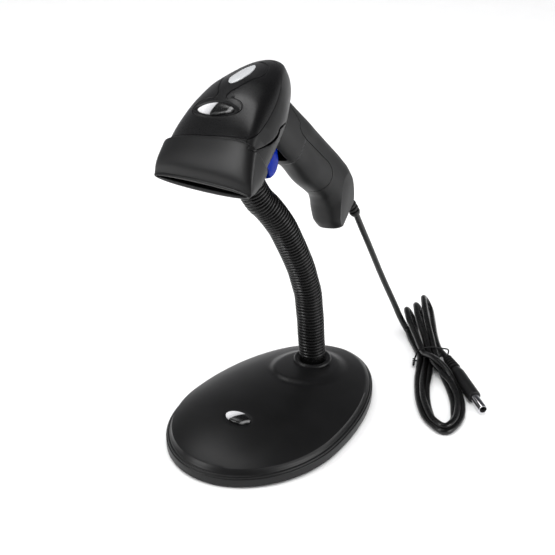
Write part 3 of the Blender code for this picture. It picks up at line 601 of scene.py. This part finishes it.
def softbox(name, place, target, size, power, shines):
    data = bpy.data.lights.new(name, "AREA")
    data.shape = "RECTANGLE"
    data.size, data.size_y = size
    data.energy = power
    light = bpy.data.objects.new(name, data)
    light.location = place
    bpy.context.scene.collection.objects.link(light)
    aim_at(light, target)
    light.visible_glossy = shines


def make_lights():
    world = bpy.data.worlds.new("studio")
    bpy.context.scene.world = world
    world.use_nodes = True
    nodes, links = world.node_tree.nodes, world.node_tree.links
    coords = nodes.new("ShaderNodeTexCoord")
    split = nodes.new("ShaderNodeSeparateXYZ")
    links.new(coords.outputs["Generated"], split.inputs["Vector"])
    links.new(ramp_node(nodes, links, split.outputs["Z"], SKY), nodes["Background"].inputs["Color"])
    for box in SOFTBOXES:
        softbox(*box)
    bpy.context.scene.view_settings.view_transform = "Standard"


# ---------------------------------------------------------------- cord, hank and plug
def hank_point(along, left, height):
    run = (HANK_BOTTOM - HANK_TOP).normalized()
    side = Vector((run.y, -run.x, 0.0))
    return (HANK_TOP + run * along + side * left + Vector((0, 0, height))) * MM


def cord_piece(name, points, body_pair, nodes):
    obj = skin(name, tube_rings(points, CORD_RADIUS * MM, 16))
    rides = body_pair[0] == body_pair[1]
    dress(obj, JACKET, body_pair[0] if rides else None, nodes, 60)
    if not rides:
        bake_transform(obj)
    return obj


def make_cord():
    relief = [TO_WORLD @ Vector((0.0, y, n)) for y, n in RELIEF_ROUTE]
    free = [Vector(p) * MM for p in CORD_ROUTE[1:]]
    ground = [hank_point(*p) for p in LANDING]
    hank = [hank_point(*p) for p in HANK_ROUTE]
    whole = smooth_curve(relief + free + ground + hank, 1.8 * MM)
    tie = TIE_STEPS + min(range(len(whole) // 3), key=lambda i: (whole[i] - hank[0]).length)
    hanging, coiled = whole[:tie + 1], whole[tie:]
    chain = ("scanner", "cradle", "neck_3", "neck_2", "neck_1", "stand")
    cuts = [0] + [round(tie * share) for share in CORD_CUTS] + [tie]
    landing = len(cuts) - 2
    for i in range(landing + 1):
        points = hanging[cuts[i]:cuts[i + 1] + 1]
        cord_piece(f"cord_{i + 1}", points, (chain[i], chain[i + 1]),
                   ("cable_span",) if i == 0 else ())
    plug = make_plug()
    tie_wire = make_tie()
    cord_piece("cord_hank", coiled, ("stand", "stand"), ("cable_hank",))


def make_plug():
    start, end = Vector((*PLUG_START, PLUG_RADIUS)) * MM, Vector((*PLUG_END, PLUG_RADIUS)) * MM
    turn = (end - start).normalized().to_track_quat("Z", "Y").to_matrix().to_4x4()
    place = Matrix.Translation(start) @ turn @ Matrix.Scale(MM, 4)
    ribs = [(0.0, -0.6), (2.6, -0.6)]
    for i in range(PLUG_RIBS):
        low = 0.3 + PLUG_RIB_PITCH * i
        radius = 2.9 + 0.25 * i
        ribs += [(radius, low), (radius + 0.15, low + 0.9), (radius, low + 1.8),
                 (radius - 1.0, low + 1.95), (radius - 1.0, low + 2.8)]
    ribs += [(3.2, 15.3), (0.0, 15.3)]
    grip = rounded(((0.0, 15.6), (3.5, 15.6), (3.9, 18.0), (PLUG_RADIUS, 21.0), (PLUG_RADIUS, 48.4),
                    (3.7, 49.0), (0.0, 49.0)), 0.6)
    barrel = ((0.0, 49.3), (2.75, 49.3), (2.75, 63.0), (2.6, 63.3), (2.3, 63.3), (2.2, 63.0),
              (2.2, 50.4), (0.0, 50.4))
    ring = ((1.1, 50.8), (2.1, 50.8), (2.1, 62.4), (1.7, 62.7), (1.1, 62.4))
    made = []
    for name, profile, mat, slot, node in (
            ("plug_sleeve", ribs, RUBBER, "black_rubber", "plug_relief"),
            ("plug_grip", grip, SATIN, "black_plastic", "plug_body"),
            ("plug_barrel_tube", barrel, NICKEL, "nickel_plate", "plug_barrel"),
            ("plug_contact_ring", ring, INNER, "black_plastic", "plug_inner_ring")):
        made.append(dress(lathe(name, profile, place), mat, "stand", (node,)))
    return made


def make_tie():
    """A thin wire tie around the hank, its ends twisted together on the left."""
    outline = ((9.0, 1.2), (8.6, 4.6), (6.6, 8.6), (2.0, 9.6), (-3.0, 8.9), (-8.0, 7.0), (-13.4, 5.0),
               (-14.0, 2.2), (-12.6, 0.7), (-4.0, 0.6), (6.0, 0.6))
    points = smooth_loop([hank_point(TIE_PLACE + 0.35 * w, w, z) for w, z in outline], 1.0 * MM)
    wire = tube_rings(points, 0.5 * MM, 8, closed=True)
    obj = skin("tie_wire", wire, loop=True)
    tails = []
    for phase in (0.0, math.pi):
        tail = [hank_point(TIE_PLACE + 3.0 + i * 0.55, 9.6 + 0.08 * i + 0.55 * math.cos(phase + i * 0.8),
                           2.2 + 0.55 * math.sin(phase + i * 0.8)) for i in range(15)]
        tails.append(skin("tail", tube_rings(tail, 0.45 * MM, 8)))
    join(obj, tails)
    return dress(obj, RUBBER, "stand", ("cable_tie",), 60)


def join(obj, others):
    bm = bmesh.new()
    bm.from_mesh(obj.data)
    for other in others:
        bm.from_mesh(other.data)
        bpy.data.objects.remove(other, do_unlink=True)
    bm.to_mesh(obj.data)
    bm.free()


# ---------------------------------------------------------------- stand
def egg_point(angle, share, inset=0.0):
    along = (BASE_REAR if math.cos(angle) > 0 else BASE_FRONT) - inset
    across = BASE_HALF_WIDTH - inset
    return Vector((across * math.sin(angle) * share, along * math.cos(angle) * share, 0))


def dome_height(share):
    return BASE_RIM_HEIGHT + BASE_DOME_HEIGHT * max(0.0, 1 - share ** 2) ** BASE_DOME_POWER


def smoothstep(low, high, value):
    t = min(1.0, max(0.0, (value - low) / (high - low)))
    return t * t * (3 - 2 * t)


def base_height(x, y, share):
    """Dome with a low plateau around the neck and a shallow dish under the badge."""
    cx, cy, half_x, half_y = PLATEAU
    reach = math.hypot((x - cx) / half_x, (y - cy) / half_y)
    soft = 0.09 + 0.16 * smoothstep(-10.0, 25.0, y - cy + abs(x - cx))
    raise_by = PLATEAU_HEIGHT * (1 - smoothstep(1.0 - soft, 1.0 + soft * 0.4, reach))
    dish_x, dish_y, depth = BADGE_DISH
    dish = math.hypot(x / dish_x, (y - BADGE_Y) / dish_y)
    return dome_height(share) + raise_by - depth * (1 - smoothstep(0.75, 1.0, dish))


def make_base():
    angles = circle(BASE_SIDES)
    rings = []
    for share in (0.02, 0.35, 0.6, 0.8, 0.92):
        level = Vector((0, 0, dome_height(share) - BASE_WALL))
        rings.append([egg_point(a, share) + level for a in angles])
    for inset, z in BASE_RIM:
        rings.append([egg_point(a, 1.0, inset) + Vector((0, 0, z)) for a in angles])
    for i in range(BASE_RINGS):
        share = 0.93 * (1 - i / BASE_RINGS) ** 0.9 + 0.008
        ring = []
        for a in angles:
            p = egg_point(a, share)
            ring.append(Vector((p.x, p.y, base_height(p.x, p.y, share))))
        rings.append(ring)
    shell = skin("base_cover", [[p * MM for p in ring] for ring in rings])
    at = Matrix.Translation((0, NECK_Y * MM, 0)) @ Matrix.Scale(MM, 4)
    carve(shell, lathe("neck_hole", ((0, 60), (8.2, 60), (8.2, 5), (0, 5)), at))
    dress(shell, BASE_BLACK, "stand", ("base_shell",), 40)
    dress(lathe("collar_ring", COLLAR, at, 64), SATIN, "stand",
          ("neck_collar",), 60)
    make_base_badge()


def make_base_badge():
    share = -BADGE_Y / BASE_FRONT
    slope = math.atan2(dome_height(share - 0.05) - dome_height(share + 0.05), 0.1 * BASE_FRONT)
    place = (Matrix.Translation(Vector((0, BADGE_Y, dome_height(share) - 0.2)) * MM)
             @ Matrix.Rotation(slope, 4, "X") @ Matrix.Scale(MM, 4))
    half_x, half_y = BADGE_HALF
    obj = skin("base_badge_dome", [
        [place @ Vector((half_x * scale * math.cos(a), half_y * scale * math.sin(a), z))
         for a in circle(48)] for scale, z in BADGE_DOME])
    # The badge's painted reflection and painted highlight are laid out along this slanted axis.
    axis = Vector((0.80, -0.60, 0.0))
    mat = painted_reflection_badge_material("base_badge_painted_reflection", axis, Vector((-0.0005, BADGE_Y * MM, 0)), 0.0085)
    dress(obj, mat, "stand", ("base_badge",), 50)


def neck_place(along, height):
    return (Vector((0, NECK_Y, height)) + NECK_LEAN * along) * MM


def hose_radius(share):
    return HOSE_RADII[0] + (HOSE_RADII[1] - HOSE_RADII[0]) * share


def make_neck():
    """Ridged hose in four lengths, each across one joint."""
    line = smooth_curve([neck_place(*p) for p in NECK_LINE], NECK_STEP * MM)
    total = len(line) - 1
    ridges = round(total * NECK_STEP / RIDGE)
    pivots = [neck_place(*p) for p in NECK_PIVOTS]
    near = [min(range(total), key=lambda i, p=p: (line[i] - p).length) / total for p in pivots]
    cuts = [0] + [round((a + b) / 2 * ridges) for a, b in zip(near, near[1:])] + [ridges]
    nodes = (("neck_segment_1", "neck_segment_2"), ("neck_segment_3",), ("neck_segment_4",),
             ("neck_segment_5", "neck_top_ferrule"))
    for i in range(4):
        points, radii = [], []
        for ridge in range(cuts[i], cuts[i + 1]):
            for phase, depth in RIDGE_SHAPE:
                share = min(1.0, (ridge + phase) / ridges)
                points.append(line[round(share * total)])
                radii.append((hose_radius(share) - depth * RIDGE_DEPTH) * MM)
        last = cuts[i + 1] / ridges
        points.append(line[round(last * total)])
        radii.append((hose_radius(last) - RIDGE_DEPTH) * MM)
        obj = skin(f"hose_{i + 1}", tube_rings(points, radii, HOSE_SIDES, Vector((1, 0, 0))))
        dress(obj, HOSE_BLACK, None, nodes[i], 60)
        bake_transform(obj)


# ---------------------------------------------------------------- scanner head
def head_ring(row, offset):
    """Section of the head, grown by an offset."""
    y, low, mid, high, half, power, low_power = row
    low, high, half = low - offset, high + offset, half + offset
    low, high, half = min(low, mid - 0.3), max(high, mid + 0.3), max(half, 0.3)
    ring = []
    for a in circle(HEAD_SIDES):
        x, n = superellipse(a, half, low, mid, high, power, low_power)
        ring.append(droop(x, y, n))
    return ring


def droop(x, y, n):
    """Twist and skew a point of the hood, by its distance from the head's middle."""
    share = smoothstep(0.0, 1.0, (y - HOOD_RANGE[0]) / (HOOD_RANGE[1] - HOOD_RANGE[0]))
    turn, height = HOOD_TWIST * share, n - HOOD_AXIS
    return (x * math.cos(turn) + height * math.sin(turn), y - x * HOOD_SKEW * share,
            HOOD_AXIS + height * math.cos(turn) - x * math.sin(turn))


def head_rows(steps=5):
    return [steady(HEAD, i / steps) for i in range((len(HEAD) - 1) * steps + 1)]


def head_top(x, y):
    """Height of the head's upper surface."""
    _, _, mid, high, half, power, _ = steady(HEAD, place_on(HEAD, y))
    inside = max(0.0, 1 - min(1.0, abs(x / half)) ** power)
    return mid + (high - mid) * inside ** (1 / power)


def head_solid(name, offset):
    """The head without its hollow, grown by an offset all round."""
    rings = [head_ring(row, offset) for row in head_rows()]
    rings.insert(0, [(x, y - offset, n) for x, y, n in rings[0]])
    return local_skin(name, rings)


def head_shell(name):
    """The whole housing as one thick closed wall with a rounded lip round the mouth."""
    rows = head_rows()
    rings = [head_ring(row, 0.0) for row in reversed(rows)]
    front = HEAD[0][0]
    for i in range(1, LIP_STEPS):
        a = math.pi * i / LIP_STEPS
        offset = -LIP / 2 * (1 - math.cos(a))
        rings.append(head_ring([front - LIP_BULGE * math.sin(a)] + rows[0][1:], offset))
    inner = [row for row in rows if row[0] < HEAD_HOLLOW_END]
    for row in inner:
        wall = LIP + (WALL - LIP) * smoothstep(0.0, 6.0, row[0] - front)
        rings.append(head_ring(row, -wall))
    return local_skin(name, rings)


def offset_line(points, distances):
    """Move a line in (y, n) sideways, to the left of its run for positive distances."""
    moved = []
    for i, (y, n) in enumerate(points):
        distance = distances[i] if isinstance(distances, (list, tuple)) else distances
        run = Vector(points[min(len(points) - 1, i + 1)]) - Vector(points[max(0, i - 1)])
        run.normalize()
        moved.append((y - run.y * distance, n + run.x * distance))
    return tuple(moved)


def fine_line(points, step=1.2):
    return tuple((p.x, p.y) for p in smooth_curve([Vector((y, n, 0)) for y, n in points], step))


def prism(name, outline, half=60.0):
    return local_skin(name, [[(x, y, n) for y, n in outline] for x in (-half, half)])


def crescent_gap(y, n):
    """Gap at the point of the crescent's outline that is nearest."""
    near = min(range(len(CRESCENT)), key=lambda i: math.hypot(CRESCENT[i][0] - y, CRESCENT[i][1] - n))
    return CRESCENT_GAPS[near]


def make_head():
    """The cover, the body band and the nose bumper, cut from one housing along its seams."""
    whole = head_shell("head_whole")
    seam = SEAM[:-1]
    split = fine_line(SPLIT[:-1]) + SPLIT[-1:]
    crescent = fine_line(CRESCENT[1:8]) + CRESCENT[8:]
    gaps = [crescent_gap(y, n) for y, n in crescent]
    for _ in range(3):
        gaps = [(a + b + c) / 3 for a, b, c in zip(gaps[:1] + gaps, gaps, gaps[1:] + gaps[-1:])]
    top_line = offset_line(seam + split, 0.2) + ((90.0, 120.0),)
    band_line = offset_line(tuple(reversed(crescent)) + split, -0.2) + ((90.0, 0.0),)
    nose_gaps = [-0.15] * (len(seam) + 1) + [-g for g in gaps]
    nose_line = (offset_line(seam + CRESCENT[:1] + crescent, nose_gaps)
                 + ((-80.0, 0.0), (-80.0, 120.0)))
    pieces = {}
    for name, outline in (("top_shell", top_line), ("band_shell", band_line), ("nose_shell", nose_line)):
        piece = copy_of(whole, name)
        carve(piece, prism("zone", outline), "INTERSECT")
        pieces[name] = piece
    bpy.data.objects.remove(whole, do_unlink=True)
    passage = [[(*superellipse(a, 9.0, 34.0, 39.5, 45.0, 2.3), n) for a in circle(40)]
               for n in (8.0, 26.0)]
    carve(pieces["band_shell"], local_skin("handle_passage", passage))
    add_top_details(pieces["top_shell"])
    for name, mat, node in (("top_shell", GLOSSY, "top_cover"), ("band_shell", SATIN, "body_band"),
                            ("nose_shell", SATIN, "nose_bumper")):
        soften(pieces[name], 0.3)
        dress(pieces[name], mat, "scanner", (node,), 30)


def on_top(points, scale, lift, centre):
    """Ring of points on the head's upper surface, scaled about a centre and lifted."""
    ring = []
    for x, y in points:
        px, py = centre[0] + (x - centre[0]) * scale, centre[1] + (y - centre[1]) * scale
        ring.append((px, py, head_top(px, py) + lift))
    return ring


def eye_outline(half_length, half_width):
    """Pointed oval across the head."""
    ring = []
    for a in circle(OUTLINE_SIDES):
        x = half_length * math.cos(a)
        y = half_width * math.sin(a) * (0.62 + 0.38 * abs(math.sin(a)))
        ring.append((x, EYE_CENTRE_Y + y))
    return ring


def lens_outline(grow=0.0):
    """Long lens, rounded in front and pointed behind."""
    middle, half = sum(LENS_Y) / 2, (LENS_Y[1] - LENS_Y[0]) / 2 + grow
    ring = []
    for a in circle(OUTLINE_SIDES):
        along = -math.cos(a)
        power = 1.0 + 0.35 * (along > 0) * along
        width = (LENS_HALF + grow) * math.copysign(abs(math.sin(a)) ** power, math.sin(a))
        ring.append((width * (1.0 - 0.18 * along), middle + half * along))
    return ring


def detail(name, outline, profile, centre_y):
    """Closed piece on the cover, from an outline and its sections."""
    return local_skin(name, [on_top(outline, scale, lift, (0.0, centre_y)) for scale, lift in profile])


def add_top_details(top):
    half = [Vector((x, y, 0)) for x, y in GROOVE_HALF]
    left = [Vector((-p.x, p.y, 0)) for p in reversed(half[1:-1])]
    loop = smooth_loop(half + left, 1.1)
    line = [TO_WORLD @ Vector((p.x, p.y, head_top(p.x, p.y) + 0.12)) for p in loop]
    carve(top, skin("groove", tube_rings(line, GROOVE_RADIUS * MM, 8, closed=True), loop=True))
    carve(top, detail("eye_dish", eye_outline(*EYE_DISH_SIZE), EYE_DISH, EYE_CENTRE_Y))
    badge = detail("eye_badge", eye_outline(*EYE_SIZE), EYE_DOME, EYE_CENTRE_Y)
    # The badge's painted reflection and painted highlight are laid out along this slanted axis.
    axis = (TO_WORLD.to_3x3() @ Vector((0.93, -0.36, 0.0))).normalized()
    mat = painted_reflection_badge_material("eye_badge_painted_reflection", axis, TO_WORLD @ Vector((-0.4, EYE_CENTRE_Y, 54.7)), 0.0145)
    dress(badge, mat, "scanner", ("top_badge",), 50)
    middle = sum(LENS_Y) / 2
    carve(top, detail("lens_seat", lens_outline(0.35), LENS_SEAT, middle))
    lens = detail("status_lens", lens_outline(), LENS_DOME, middle)
    dress(lens, LENS, "scanner", ("indicator_lens",), 50)


# ---------------------------------------------------------------- handle, trigger and relief
def handle_ring(row, offset):
    n, front, back, half, power, slant = row
    middle = (front + back) / 2
    ring = []
    for a in circle(HANDLE_SIDES):
        x, y = superellipse(a, half + offset, front - offset, middle, back + offset, power)
        lift = slant * (y - middle)
        inset = crease_inset(y, n + lift) if offset == 0.0 else 0.0
        ring.append((x * (1 - inset / half), y + inset * max(0.0, -math.sin(a)), n + lift))
    return ring


def crease_inset(y, n):
    """Below a slanting line under the trigger housing the grip is a little slimmer."""
    below = CREASE_START[1] + CREASE_SLOPE * (y - CREASE_START[0]) - n
    fade = 1 - smoothstep(36.0, 43.0, y)
    return CREASE_DEPTH * smoothstep(0.0, 1.4, below) * (1 - smoothstep(7.0, 26.0, below)) * fade


def handle_rows():
    first, last = HANDLE[0][0], HANDLE[-1][0]
    rows = []
    levels = [first - i * HANDLE_STEP for i in range(int((first - last) / HANDLE_STEP))]
    levels += [last + 0.6, last + 0.25, last]
    for n in levels:
        row = steady(HANDLE, place_on(HANDLE, n))
        rows.append([n] + row[1:])
    return rows


def make_handle():
    rows = handle_rows()
    inner = [handle_ring(row, -WALL) for row in rows[::3] if row[0] > HOLLOW_END]
    inner[0] = [(x, y, n + 2.0) for x, y, n in inner[0]]
    half, (front, back) = OPENING_HALF_WIDTH, OPENING_Y
    corners = ((-half, front), (half, front), (half, back), (-half, back))
    opening = local_skin("opening", [[(x, y, n) for x, y in corners] for n in OPENING_N])
    head_cut = head_solid("head_cut", GAP)
    seam = fine_line(GRIP_SEAM[:-1]) + GRIP_SEAM[-1:]
    front_zone = offset_line(seam, -0.2) + ((-40.0, -45.0), (-40.0, 60.0))
    back_zone = (offset_line(seam, 0.2)
                 + ((-40.0, -45.25), (-40.0, -120.0), (90.0, -120.0), (90.0, 60.0)))
    hollow = local_skin("hollow", inner)
    for name, zone, node in (("handle_front", front_zone, "grip_front"),
                             ("handle_back", back_zone, "grip_back")):
        piece = local_skin(name, [handle_ring(row, 0.0) for row in rows])
        carve(piece, hollow, keep=True)
        if node == "grip_front":
            carve(piece, opening)
        carve(piece, head_cut, keep=True)
        carve(piece, prism("zone", zone), "INTERSECT")
        if node == "grip_back":
            cut_facets(piece)
        soften(piece, 0.3)
        dress(piece, HANDLE_SATIN, "scanner", (node,), 28)
    for obj in (hollow, head_cut):
        bpy.data.objects.remove(obj, do_unlink=True)


def cut_facets(piece):
    """Flat slanting faces on both sides of the butt."""
    for side in (-1, 1):
        normal = Vector((FACET_NORMAL[0] * side, *FACET_NORMAL[1:])).normalized()
        place = Vector((FACET_PLACE[0] * side, *FACET_PLACE[1:]))
        across = normal.orthogonal().normalized()
        other = normal.cross(across)
        rings = [[place + normal * d + 60.0 * (u * across + v * other)
                  for u, v in ((-1, -1), (1, -1), (1, 1), (-1, 1))] for d in (0.0, 40.0)]
        carve(piece, local_skin("facet", rings))


def make_trigger():
    outline = smooth_loop([Vector((0, y, n)) for y, n in TRIGGER_OUTLINE], 0.8)
    centre = Vector((0, *TRIGGER_CENTRE))
    sides = [(-share, scale) for share, scale in reversed(TRIGGER_SIDE[1:])] + list(TRIGGER_SIDE)
    rings = [[centre + (p - centre) * scale + Vector((share * TRIGGER_HALF_WIDTH, 0, 0))
              for p in outline] for share, scale in sides]
    dress(local_skin("trigger_blade", rings), BLUE, "trigger", ("trigger",), 50)


def make_relief():
    """Ribbed sleeve that tapers along the cord."""
    line = smooth_curve([Vector((0, y, n)) for y, n in RELIEF_ROUTE], 0.15)
    last = len(line) - 1
    stations = [(0.0, 3.4), (0.06, 3.6)]
    for i in range(RELIEF_RIBS):
        low = 0.10 + i * 0.165
        radius = 4.1 - 0.14 * i
        stations += [(low, radius - 1.1), (low + 0.03, radius - 1.1), (low + 0.045, radius - 0.1),
                     (low + 0.09, radius), (low + 0.135, radius - 0.1)]
    stations += [(0.93, 3.1), (0.97, 2.9), (1.0, 2.3)]
    points = [TO_WORLD @ line[round(share * last)] for share, _ in stations]
    radii = [radius * MM for _, radius in stations]
    sleeve = skin("relief_sleeve", tube_rings(points, radii, 40, Vector((1, 0, 0))))
    dress(sleeve, RUBBER, "scanner", ("strain_relief",), 50)


# ---------------------------------------------------------------- nodes kept from the model
KEPT = {
    "base_bottom_plate": INNER, "base_weight": STEEL, "base_pad": RUBBER, "base_screw_1": STEEL,
    "base_screw_2": STEEL, "neck_foot_sleeve": HOSE_BLACK, "neck_lock_nut": STEEL, "cradle": SATIN,
    "scan_window": GLASS, "optics_chassis": INNER, "lens_barrel": INNER, "light_lens_right": CLEAR,
    "light_lens_left": CLEAR, "main_pcb": BOARD, "decoder_chip": INNER, "buzzer": INNER,
    "butt_plate": INNER, "trigger_pin": STEEL, "switch_board": BOARD, "trigger_switch": INNER,
    "trigger_spring": STEEL, "cable_socket": PALE,
}


def dress_kept_nodes():
    for name, mat in KEPT.items():
        obj = NODES[name]
        for slot in obj.material_slots:
            slot.material = mat
        if not obj.material_slots:
            obj.data.materials.append(mat)


make_camera()
make_floor()
make_lights()
make_cord()
make_base()
make_neck()
make_head()
make_handle()
make_trigger()
make_relief()
dress_kept_nodes()
